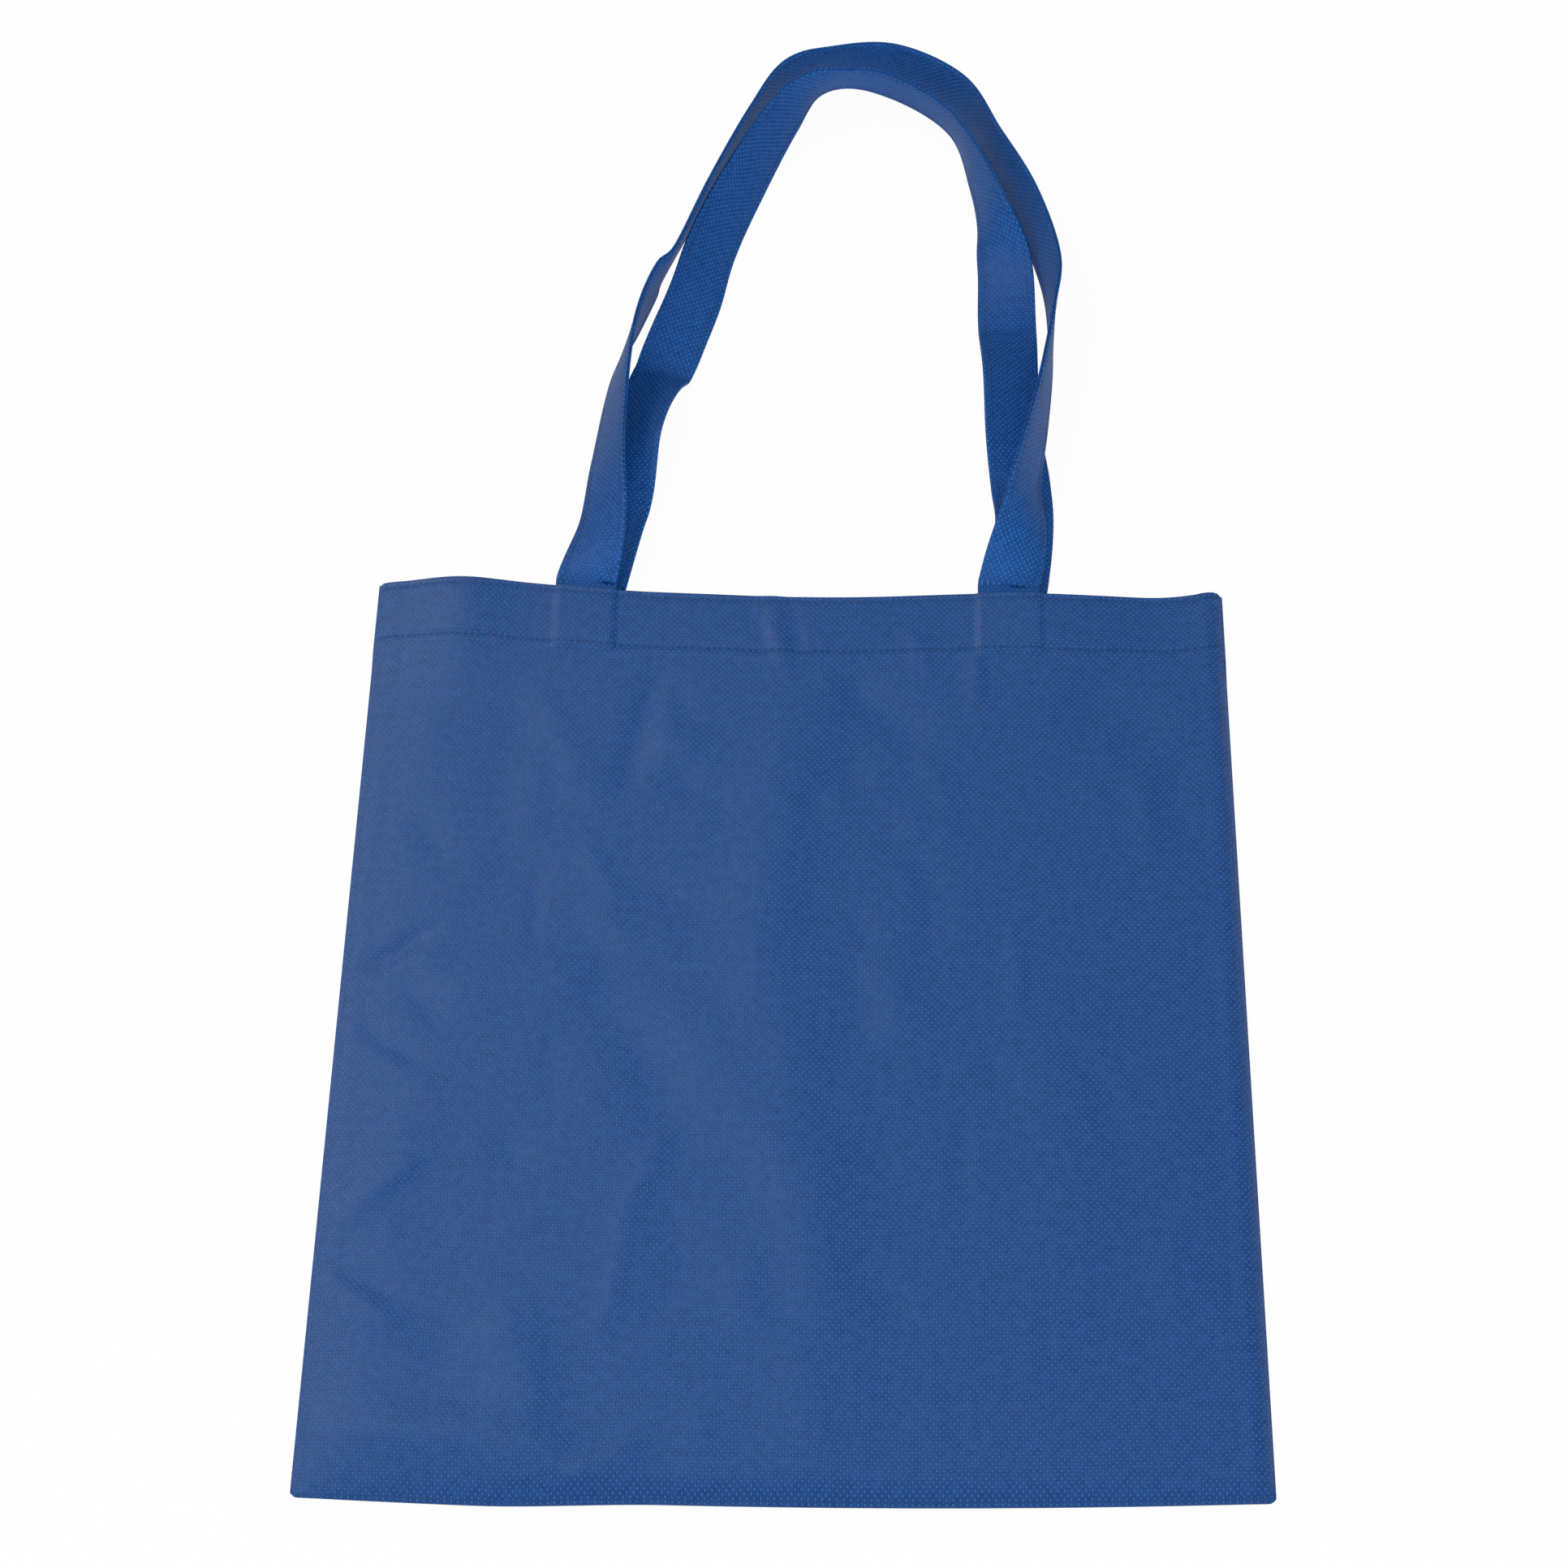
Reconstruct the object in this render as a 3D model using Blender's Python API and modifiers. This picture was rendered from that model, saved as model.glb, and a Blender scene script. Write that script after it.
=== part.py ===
"""A carrier bag of embossed non-woven cloth with two long handles, lying flat with its front panel up.

X runs across the bag, Y from the bottom fold to the mouth and on to the handles, and Z up from the table.
The origin is on the table, under the middle of the back panel. Lengths are in metres.
"""

import math

import bmesh
import bpy
from mathutils import Vector

MM = 0.001

# The cloth and the bag's own sizes
BAG_WIDTH = 380 * MM
BAG_HEIGHT = 420 * MM
CLOTH = 0.4 * MM
LAYER_GAP = 0.1 * MM  # air between two cloths that are sewn flat on each other
HEM_DEPTH = 32 * MM
HEM_RELEASE = 2 * MM  # the side turns stay wide this far below the hem's raw edge
HEM_EASE = 12 * MM  # and come back to their own radius over this distance
SEAM_ALLOWANCE = 9 * MM
SIDE_TURN = 0.3 * MM  # radius of the turn at a side seam, to the middle of the cloth
BOTTOM_FOLD = 1.2 * MM  # radius of the bottom fold, to the middle of the cloth
CORNER_REACH = 12 * MM  # the bottom fold opens from its sewn corners over this distance

# How the front panel lies over the back panel
FRONT_RISE = 9 * MM
MOUTH_RISE = 7.6 * MM
SIDE_SETTLE = 42 * MM  # distance over which the front comes down to a side seam
BOTTOM_SETTLE = 26 * MM  # distance over which it comes down to the bottom fold
MOUTH_REACH = 150 * MM  # how far the waves of the mouth run down the front panel
BOTTOM_BOW = 4 * MM  # how far the middle of the bottom fold stands out past the corners

# The waves of the front edge at the mouth: place across, half width, height
MOUTH_WAVES = [
    (-153 * MM, 24 * MM, 4 * MM),
    (-104 * MM, 30 * MM, 1 * MM),
    (112 * MM, 28 * MM, 1.8 * MM),
    (160 * MM, 20 * MM, -1.4 * MM),
]
# How far the mouth edge dips towards the bottom fold: place across, half width, depth
MOUTH_DIPS = [(10 * MM, 100 * MM, 8.5 * MM), (135 * MM, 45 * MM, 5 * MM)]
# Soft ridges down the front panel: place across at the bottom and at the mouth, half width, height
FRONT_RIDGES = [
    (-170 * MM, -153 * MM, 26 * MM, 2 * MM),
    (20 * MM, -5 * MM, 45 * MM, 2.2 * MM),
    (95 * MM, 120 * MM, 40 * MM, -1.2 * MM),
]

# The handles
HANDLE_WIDTH = 27.5 * MM
HANDLE_SPACING = 190 * MM  # between the middles of a handle's two ends
HANDLE_CLEARANCE = 0.3 * MM  # between a handle's end and the hem it is sewn to
HANDLE_SHORTFALL = 2 * MM  # a handle's end stops this far above the hem's raw edge
FOLD_INSET = 3 * MM  # a turned-in edge of the strip stops this far short of the strip's fold
TABLE_GAP = 0.1 * MM  # between a resting handle and the table

# Each route starts and ends at the mouth: share of half the spacing, share of the rise, lean in degrees.
# At a lean of 90 the strip stands on edge. The front one's inner edge rises, and the back one's outer edge.
FRONT_RISE_PAST_MOUTH = 310 * MM
FRONT_MIDDLE = -1 * MM
FRONT_ROUTE = [
    (-1.00, 0.000, 0),
    (-0.92, 0.100, 39),
    (-0.90, 0.335, 67),
    (-0.78, 0.505, 85),
    (-0.65, 0.590, 75),
    (-0.42, 0.800, 69),
    (-0.14, 0.965, 69),
    (0.34, 1.000, 75),
    (0.74, 0.935, 97),
    (1.02, 0.775, 102),
    (1.22, 0.595, 106),
    (1.24, 0.440, 88),
    (1.17, 0.290, 74),
    (1.09, 0.145, 52),
    (1.00, 0.000, 0),
]
BACK_RISE_PAST_MOUTH = 296 * MM
BACK_MIDDLE = 3 * MM
BACK_ROUTE = [
    (-1.00, 0.000, 0),
    (-0.90, 0.160, -5),
    (-0.83, 0.305, -27),
    (-0.71, 0.425, 0),
    (-0.58, 0.560, 31),
    (-0.43, 0.715, 44),
    (-0.16, 0.910, 71),
    (0.14, 1.005, 111),
    (0.66, 0.925, 102),
    (0.88, 0.745, 72),
    (0.97, 0.615, 24),
    (0.97, 0.480, 0),
    (0.98, 0.315, -6),
    (1.01, 0.150, 0),
    (1.00, 0.000, 0),
]
ROUTE_STRIP = 27.5 * MM  # the width of strip that both routes are drawn for
NEST_SHARE = 0.6  # of a strip's extra width, how much the rear handle draws inwards to nest in the front one
NEST_REACH = 0.3  # share of the rise over which it does so
HANDLE_FLAT_RUN = 5 * MM  # a handle stays flat this far past the mouth before it starts to lean
FRONT_SETTLE = 110 * MM  # the front handle comes down to the table over about this distance
BACK_SETTLE = 60 * MM

# How finely each sheet is divided
PANEL_COLUMNS = 24
FRONT_ROWS = 17
BACK_ROWS = 5
LOW_ROWS = [30 * MM, 20 * MM, 11 * MM, 4 * MM]  # rows close above the bottom fold
TURN_STEPS = 4
FOLD_STEPS = 6
LOOP_STATIONS = 42
ROUTE_STEPS = 800
HEM_SAMPLES = 8

PITCH = CLOTH + LAYER_GAP
HALF_WIDTH = (BAG_WIDTH - CLOTH) / 2
HALF_HEIGHT = BAG_HEIGHT / 2
HEM_TURN = SIDE_TURN + PITCH - 0.5 * LAYER_GAP  # the side turn where it holds the hem's second layer
HANDLE_THICKNESS = 3 * PITCH + CLOTH  # the strip is folded to four layers
HANDLE_TUCK = HEM_DEPTH - HANDLE_SHORTFALL
CLOTH_BLUE = (0.030, 0.092, 0.285, 1.0)
HANDLE_BLUE = (0.028, 0.088, 0.275, 1.0)


def smooth(share):
    share = min(1.0, max(0.0, share))
    return share * share * (3 - 2 * share)


def bell(share):
    return math.exp(-share * share)


def mix(first, second, share):
    return first + (second - first) * share


# The lie of the bag


def mouth_y(x):
    dip = sum(depth * bell((x - place) / width) for place, width, depth in MOUTH_DIPS)
    return HALF_HEIGHT - dip


def bottom_y(x):
    return -HALF_HEIGHT - BOTTOM_BOW * (1 - (x / HALF_WIDTH) ** 2)


def side_turn(below):
    """Radius of the turn at the side seams, at a distance below the mouth: it grows where the hem is."""
    return mix(HEM_TURN, SIDE_TURN, smooth((below - HEM_DEPTH - HEM_RELEASE) / HEM_EASE))


def edge_gap(below):
    """Half the distance between the two panels, middle to middle, at the side seams."""
    return PITCH / 2 + 2 * side_turn(below)


def mouth_height(x):
    waves = sum(height * bell((x - place) / width) for place, width, height in MOUTH_WAVES)
    return MOUTH_RISE + waves


def fold_gap(x):
    """Half the distance between the panels where they meet in the bottom fold."""
    from_side = HALF_WIDTH - abs(x)
    return mix(edge_gap(BAG_HEIGHT), BOTTOM_FOLD, smooth(from_side / CORNER_REACH))


def front_height(x, y):
    """Height of the middle of the front panel's cloth over the table."""
    above = y - bottom_y(x)
    below = mouth_y(x) - y
    share_up = above / (above + below)
    ridges = sum(
        height * bell((x - mix(low_x, high_x, share_up)) / width)
        for low_x, high_x, width, height in FRONT_RIDGES
    )
    body = FRONT_RISE + ridges
    height = mix(mouth_height(x), body, smooth(below / MOUTH_REACH))
    side = CLOTH / 2 + 2 * edge_gap(below)
    from_side = HALF_WIDTH - side_turn(below) - abs(x)
    height = mix(side, max(height, side), smooth(from_side / SIDE_SETTLE))
    fold = CLOTH / 2 + 2 * fold_gap(x)
    return mix(fold, height, smooth((above - fold_gap(x)) / BOTTOM_SETTLE))


def half_gap(x, y):
    return (front_height(x, y) - CLOTH / 2) / 2


# The bag's cloth: one flat sheet, folded up at the bottom and turned in at the sides and the mouth


def across_places():
    """Stations across the cloth: (side, kind, share) from one raw edge to the other."""
    turn = [step / TURN_STEPS for step in range(TURN_STEPS + 1)]
    left = [(-1, "allowance", 1.0)] + [(-1, "turn", 1 - share) for share in turn]
    right = [(1, "turn", share) for share in turn] + [(1, "allowance", 1.0)]
    panel = [(0, "panel", 2 * column / PANEL_COLUMNS - 1) for column in range(1, PANEL_COLUMNS)]
    return left + panel + right


def along_places():
    """Stations along the cloth: (turn over the bottom fold, distance below the mouth, share of the hem's turn).

    The turn over the bottom fold is 0 on the front and pi on the back. The share of the hem's turn is 0
    on a panel and 1 on the hem behind it. A distance of None is the fold itself.
    """
    top = PITCH / 2 + CLOTH / 2
    hem = [HEM_DEPTH, HEM_DEPTH / 2, top]
    hem_end = [HEM_DEPTH + HEM_RELEASE, HEM_DEPTH + HEM_RELEASE + HEM_EASE]
    low = [BAG_HEIGHT - distance for distance in LOW_ROWS]
    first, last = hem_end[-1], low[0]
    front_body = [mix(first, last, row / FRONT_ROWS) for row in range(1, FRONT_ROWS)]
    back_body = [mix(last, first, row / BACK_ROWS) for row in range(1, BACK_ROWS)]
    turn = [step / TURN_STEPS for step in range(1, TURN_STEPS)]
    front_edge = [(0.0, below, 1.0) for below in hem] + [(0.0, top, 1 - share) for share in turn]
    front = [(0.0, below, 0.0) for below in hem[::-1] + hem_end + front_body + low]
    fold = [(math.pi * step / FOLD_STEPS, None, 0.0) for step in range(FOLD_STEPS + 1)]
    back = [(math.pi, below, 0.0) for below in low[::-1] + back_body + hem_end[::-1] + hem]
    back_edge = [(math.pi, top, share) for share in turn] + [(math.pi, below, 1.0) for below in hem[::-1]]
    return front_edge + front + fold + back + back_edge


def cloth_point(place, station):
    """Where a point of the flat cloth comes to lie, in the middle of the cloth's thickness."""
    side, kind, share = place
    over, below, hem_share = station
    in_fold = below is None
    hem_angle = math.pi * hem_share
    inset = PITCH / 2 * (1 - math.cos(hem_angle))
    past = PITCH / 2 * math.sin(hem_angle)
    turn = side_turn(BAG_HEIGHT if in_fold else below)
    straight = HALF_WIDTH - turn
    x = share * straight if kind == "panel" else side * straight
    low_y = bottom_y(x) + CLOTH / 2 + fold_gap(x)
    y = low_y if in_fold else max(low_y, mouth_y(x) - below * (mouth_y(x) - bottom_y(x)) / BAG_HEIGHT)
    gap = half_gap(x, y)
    middle = gap + CLOTH / 2
    if kind == "panel":
        height = gap - inset
    elif kind == "turn":
        angle = math.pi * share
        height = PITCH / 2 + turn + (turn - inset) * math.cos(angle)
        x += side * (turn - inset) * math.sin(angle)
    else:
        height = PITCH / 2 + inset
        x -= side * SEAM_ALLOWANCE
    return Vector((x, y + past - height * math.sin(over), middle + height * math.cos(over)))


# The handles: a flat strip folded to four layers and swept along its route


def strip_section():
    """The strip's folded section: (across, up) from one turned-in raw edge to the other."""
    half = HANDLE_WIDTH / 2 - CLOTH / 2
    open_side = half - PITCH / 2
    fold_side = -half + 1.5 * PITCH
    hidden_end = fold_side + FOLD_INSET
    small = PITCH / 2
    upper = [(hidden_end, small), (open_side, small)]
    upper += [(open_side + small * math.sin(a), PITCH - small * math.cos(a)) for a in (math.pi / 3, math.pi * 2 / 3)]
    upper += [(open_side, 3 * small), (fold_side, 3 * small)]
    bend = [math.pi * step / TURN_STEPS for step in range(1, TURN_STEPS)]
    middle = [(fold_side - 3 * small * math.sin(a), 3 * small * math.cos(a)) for a in bend]
    lower = [(across, -up) for across, up in reversed(upper)]
    return upper + middle + lower


def smooth_route(points, share):
    """A point on the smooth curve through evenly counted points, at a share of its way."""
    place = min(share, 0.999999) * (len(points) - 1)
    index = int(place)
    t = place - index
    before = points[max(index - 1, 0)]
    start, end = points[index], points[index + 1]
    after = points[min(index + 2, len(points) - 1)]
    values = []
    for a, b, c, d in zip(before, start, end, after):
        bend = (2 * a - 5 * b + 4 * c - d) * t * t + (3 * b - a - 3 * c + d) * t**3
        values.append(0.5 * (2 * b + (c - a) * t + bend))
    return values


def hem_face(x, y, on_front):
    """Height of the middle of a handle's end where it lies on the hem, clear of it all across."""
    stack = PITCH + CLOTH / 2 + HANDLE_CLEARANCE + HANDLE_THICKNESS / 2
    if not on_front:
        return CLOTH / 2 + stack
    edges = [x + HANDLE_WIDTH * (step / HEM_SAMPLES - 0.5) for step in range(HEM_SAMPLES + 1)]
    return min(front_height(edge, y) for edge in edges) - stack


def handle_line(route, rise, middle_x, on_front):
    """Stations along a handle: (middle of the strip, direction across it)."""
    half_spacing = HANDLE_SPACING / 2
    nest = 0 if on_front else NEST_SHARE * (HANDLE_WIDTH - ROUTE_STRIP)
    points = []
    for across, share, lean in route:
        reach = half_spacing - nest * smooth(share / NEST_REACH)
        points.append((middle_x + across * reach, share * (rise - nest), lean))
    ends = (points[0][0], points[-1][0])
    root_y = [mouth_y(x) + HANDLE_FLAT_RUN for x in ends]
    fine = [smooth_route(points, step / ROUTE_STEPS) for step in range(ROUTE_STEPS + 1)]
    travelled = [0.0]
    for here, there in zip(fine, fine[1:]):
        travelled.append(travelled[-1] + math.dist(here[:2], there[:2]))
    length = travelled[-1]
    rise_side = 1 if on_front else -1
    settle = FRONT_SETTLE if on_front else BACK_SETTLE
    straight = HANDLE_TUCK + HANDLE_FLAT_RUN
    before = [-straight, -straight / 2]
    loop = [length * station / LOOP_STATIONS for station in range(LOOP_STATIONS + 1)]
    line = []
    for along in before + loop + [length - distance for distance in reversed(before)]:
        on_route = min(length, max(0.0, along))
        index = min(range(len(fine)), key=lambda i: abs(travelled[i] - on_route))
        x, up, lean = fine[index]
        base_y = mix(root_y[0], root_y[1], on_route / length)
        tucked = max(0.0, -along, along - length)
        y = base_y + up - tucked
        end = 0 if along < length / 2 else 1
        angle = math.radians(lean)
        resting = HANDLE_WIDTH / 2 * abs(math.sin(angle)) + HANDLE_THICKNESS / 2 * abs(math.cos(angle))
        on_hem = hem_face(ends[end], root_y[end] - tucked, on_front)
        flat_rest = HANDLE_THICKNESS / 2 + TABLE_GAP
        past = min(on_route, length - on_route)
        z = resting + TABLE_GAP + (on_hem - flat_rest) * bell(past / settle)
        ahead, behind = fine[min(index + 1, ROUTE_STEPS)], fine[max(index - 1, 0)]
        way = Vector((ahead[0] - behind[0], ahead[1] - behind[1], 0)).normalized()
        if on_route in (0.0, length):
            way = Vector((0, 1 if end == 0 else -1, 0))
        inward = way.cross(Vector((0, 0, 1)))
        across = inward * math.cos(angle) + Vector((0, 0, rise_side * math.sin(angle)))
        line.append((Vector((x, y, z)), across))
    return line


def handle_points(route, rise, middle_x, on_front):
    """Where each point of the folded strip comes to lie: one list of section points for each station."""
    line = handle_line(route, rise, middle_x, on_front)
    section = strip_section()
    open_edge = 1 if on_front else -1
    rows = []
    for index, (centre, across) in enumerate(line):
        ahead = line[min(index + 1, len(line) - 1)][0]
        behind = line[max(index - 1, 0)][0]
        way = (ahead - behind).normalized()
        across = (across - way * across.dot(way)).normalized()
        face = across.cross(way)
        rows.append([centre + across * (a * open_edge) + face * (up * open_edge) for a, up in section])
    return rows


# Building the pieces


def material(name, colour):
    made = bpy.data.materials.new(name)
    made.use_nodes = True
    surface = made.node_tree.nodes["Principled BSDF"]
    surface.inputs["Base Color"].default_value = colour
    surface.inputs["Roughness"].default_value = 0.62
    surface.inputs["Metallic"].default_value = 0.0
    made.diffuse_color = colour
    return made


def folded_sheet(name, columns, rows, place_of, finish, collection):
    """A flat grid of cloth whose points are moved to their folded places, then given the cloth's thickness."""
    mesh = bpy.data.meshes.new(name)
    bm = bmesh.new()
    bmesh.ops.create_grid(bm, x_segments=columns, y_segments=rows, size=1)
    for vertex in bm.verts:
        column = round((vertex.co.x + 1) / 2 * columns)
        row = round((vertex.co.y + 1) / 2 * rows)
        vertex.co = place_of(column, row)
    bm.to_mesh(mesh)
    bm.free()
    mesh.shade_smooth()
    mesh.materials.append(finish)
    sheet = bpy.data.objects.new(name, mesh)
    collection.objects.link(sheet)
    thickness = sheet.modifiers.new("cloth_thickness", "SOLIDIFY")
    thickness.thickness = CLOTH
    thickness.offset = 0
    return sheet


def make_body(collection):
    places, stations = across_places(), along_places()
    finish = material("bag_cloth", CLOTH_BLUE)

    def place_of(column, row):
        return cloth_point(places[column], stations[row])

    return folded_sheet("bag_body", len(places) - 1, len(stations) - 1, place_of, finish, collection)


def make_handle(name, route, rise, middle_x, on_front, finish, collection):
    rows = handle_points(route, rise, middle_x, on_front)

    def place_of(column, row):
        return rows[row][column]

    return folded_sheet(name, len(rows[0]) - 1, len(rows) - 1, place_of, finish, collection)


def main():
    for old in list(bpy.data.objects):
        bpy.data.objects.remove(old, do_unlink=True)
    collection = bpy.data.collections.new("carrier_bag")
    bpy.context.scene.collection.children.link(collection)
    make_body(collection)
    finish = material("handle_cloth", HANDLE_BLUE)
    make_handle(
        "front_handle", FRONT_ROUTE, FRONT_RISE_PAST_MOUTH, FRONT_MIDDLE, True, finish, collection
    )
    make_handle(
        "rear_handle", BACK_ROUTE, BACK_RISE_PAST_MOUTH, BACK_MIDDLE, False, finish, collection
    )


main()
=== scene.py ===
# %% [markdown]
# # A carrier bag of embossed non-woven cloth
#
# The bag lies on a pale table with its front panel up and its two long handles laid out above its mouth.
# The imported model is loaded first, and gives the bag's width. Each piece of cloth is then made again as a fine
# folded sheet, because a limp thing is read by its folds, its seams and the grain of its cloth.

# %% Load the frame
import math

import bmesh
import bpy
import numpy as np
from mathutils import Euler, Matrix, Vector


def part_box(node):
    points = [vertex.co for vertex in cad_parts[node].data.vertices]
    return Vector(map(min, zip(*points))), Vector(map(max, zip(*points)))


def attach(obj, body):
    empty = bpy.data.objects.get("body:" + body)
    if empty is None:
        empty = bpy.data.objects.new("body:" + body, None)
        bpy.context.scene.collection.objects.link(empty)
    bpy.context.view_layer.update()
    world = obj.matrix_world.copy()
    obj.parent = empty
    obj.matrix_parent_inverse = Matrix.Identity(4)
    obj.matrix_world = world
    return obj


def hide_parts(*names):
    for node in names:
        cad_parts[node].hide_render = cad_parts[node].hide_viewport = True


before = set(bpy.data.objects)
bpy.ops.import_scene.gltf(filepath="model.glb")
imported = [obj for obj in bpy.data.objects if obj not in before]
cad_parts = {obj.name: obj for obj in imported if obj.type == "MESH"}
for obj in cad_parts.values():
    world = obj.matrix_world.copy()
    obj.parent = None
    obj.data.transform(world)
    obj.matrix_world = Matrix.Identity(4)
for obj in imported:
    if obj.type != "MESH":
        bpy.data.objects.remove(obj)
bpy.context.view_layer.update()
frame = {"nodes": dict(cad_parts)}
MM = 0.001
print("the frame's nodes:", ", ".join(frame["nodes"]))

# %% [markdown]
# ## The camera
#
# The photograph looks down on the bag from beyond its bottom edge, about thirty degrees off the vertical.
# A long lens keeps the sides of the bag almost parallel.

# %% Camera
camera_data = bpy.data.cameras.new("camera")
camera_data.sensor_width = 36.0
camera_data.lens = 72.97
camera = bpy.data.objects.new("camera", camera_data)
camera.location = (0.027, -0.591, 1.196)
camera.rotation_euler = Euler([math.radians(angle) for angle in (30.35, 0.91, 1.07)], "XYZ")
bpy.context.scene.collection.objects.link(camera)
bpy.context.scene.camera = camera
print("camera at", tuple(camera.location))

# %% [markdown]
# ## Measures
#
# The bag's width comes from the frame, and its height is given. The cloth and the seams have the real ones' sizes.

# %% Measures
body_low, body_high = (Vector(corner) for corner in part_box("bag_body"))
BAG_WIDTH = body_high.x - body_low.x
BAG_HEIGHT = 420 * MM
CLOTH = 0.4 * MM
LAYER_GAP = 0.1 * MM
HEM_DEPTH = 32 * MM
HEM_STITCH = 28.8 * MM  # distance of the lower row of stitches below the mouth
MOUTH_STITCH = 2.6 * MM
SEAM_ALLOWANCE = 9 * MM
SIDE_TURN = 0.3 * MM
BOTTOM_FOLD = 1.2 * MM
PITCH = CLOTH + LAYER_GAP
HALF_WIDTH = (BAG_WIDTH - CLOTH) / 2
HALF_HEIGHT = BAG_HEIGHT / 2
HEM_TURN = SIDE_TURN + PITCH
HANDLE_WIDTH = 27.5 * MM
print(f"bag {BAG_WIDTH / MM:.1f} mm wide, {BAG_HEIGHT / MM:.0f} mm high")


# %% [markdown]
# ## How the cloth lies
#
# Every shape below is a sum of soft steps and bells. A bell is a round bump that fades out, and a ridge
# is a bell that follows a line.


# %% Soft steps, bells and ridges
def smooth(share):
    share = np.clip(share, 0.0, 1.0)
    return share * share * (3 - 2 * share)


def bell(share):
    return np.exp(-share * share)


def bulge(share):
    """Steep at first, then level, like the side of a cushion."""
    share = np.clip(share, 0.0, 1.0)
    return 1 - (1 - share) ** 2.4


def mix(first, second, share):
    return first + (second - first) * share


def ridge(x, y, line, width, height):
    """A bell-shaped ridge along a line of points in mm, fading out towards both ends."""
    points = np.array(line, float) * MM
    steps = np.diff(points, axis=0)
    lengths = np.hypot(steps[:, 0], steps[:, 1])
    total = lengths.sum()
    nearest = np.full(np.shape(x), np.inf)
    place = np.zeros(np.shape(x))
    travelled = 0.0
    for (start_x, start_y), (step_x, step_y), length in zip(points, steps, lengths):
        share = ((x - start_x) * step_x + (y - start_y) * step_y) / length**2
        share = np.clip(share, 0, 1)
        distance = np.hypot(x - start_x - share * step_x, y - start_y - share * step_y)
        closer = distance < nearest
        nearest = np.where(closer, distance, nearest)
        place = np.where(closer, travelled + share * length, place)
        travelled += length
    fade = smooth(place / (0.3 * total)) * smooth((total - place) / (0.3 * total))
    return height * MM * bell(nearest / (width * MM)) * (0.15 + 0.85 * fade)


# %% [markdown]
# The mouth dips a little in its middle, and the bottom fold bows out. The front panel rises from its
# seams, and the cloth keeps the soft creases of the fold it was packed in.

# %% The lie of the front panel
# Dips of the mouth's line and waves of its height: place across, half width and size, all in mm
MOUTH_DIPS = [(10, 100, 8.5), (135, 45, 5), (-88, 42, 2.0), (172, 24, 2.8)]
MOUTH_WAVES = [(-153, 24, 4.0), (-104, 30, 1.0), (112, 28, 1.8), (160, 20, -1.4)]
BOTTOM_BOW = 4 * MM
LEFT_SAG = 2.6 * MM
FRONT_RISE = 7.6 * MM
MOUTH_RISE = 7.6 * MM
LEFT_SETTLE = (50 * MM, 44 * MM)  # width over which the left side settles, at the mouth and at the bottom
RIGHT_SETTLE = 8 * MM
LEFT_SHARE, RIGHT_SHARE = 0.72, 0.85  # how much of the rise is left at the side edges
LEFT_FALL = (20 * MM, 150 * MM)  # where the rise starts to fall, and over what width
RIGHT_FALL = (50 * MM, 130 * MM)
SETTLE_CHANGE = (60 * MM, 260 * MM)  # where the left side's settling changes, below the mouth
CREASE_SHARE_ON_HEM = 0.4
HEM_CREASE_REACH = 30 * MM
BOTTOM_SETTLE = (15 * MM, 12 * MM)  # the same above the bottom fold, on the left and on the right
MOUTH_CORNER = 3 * MM
BOTTOM_CORNER = 2.5 * MM
MOUTH_REACH = 150 * MM  # how far below the mouth its rise and its waves are felt
WAVE_REACH = 70 * MM

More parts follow.
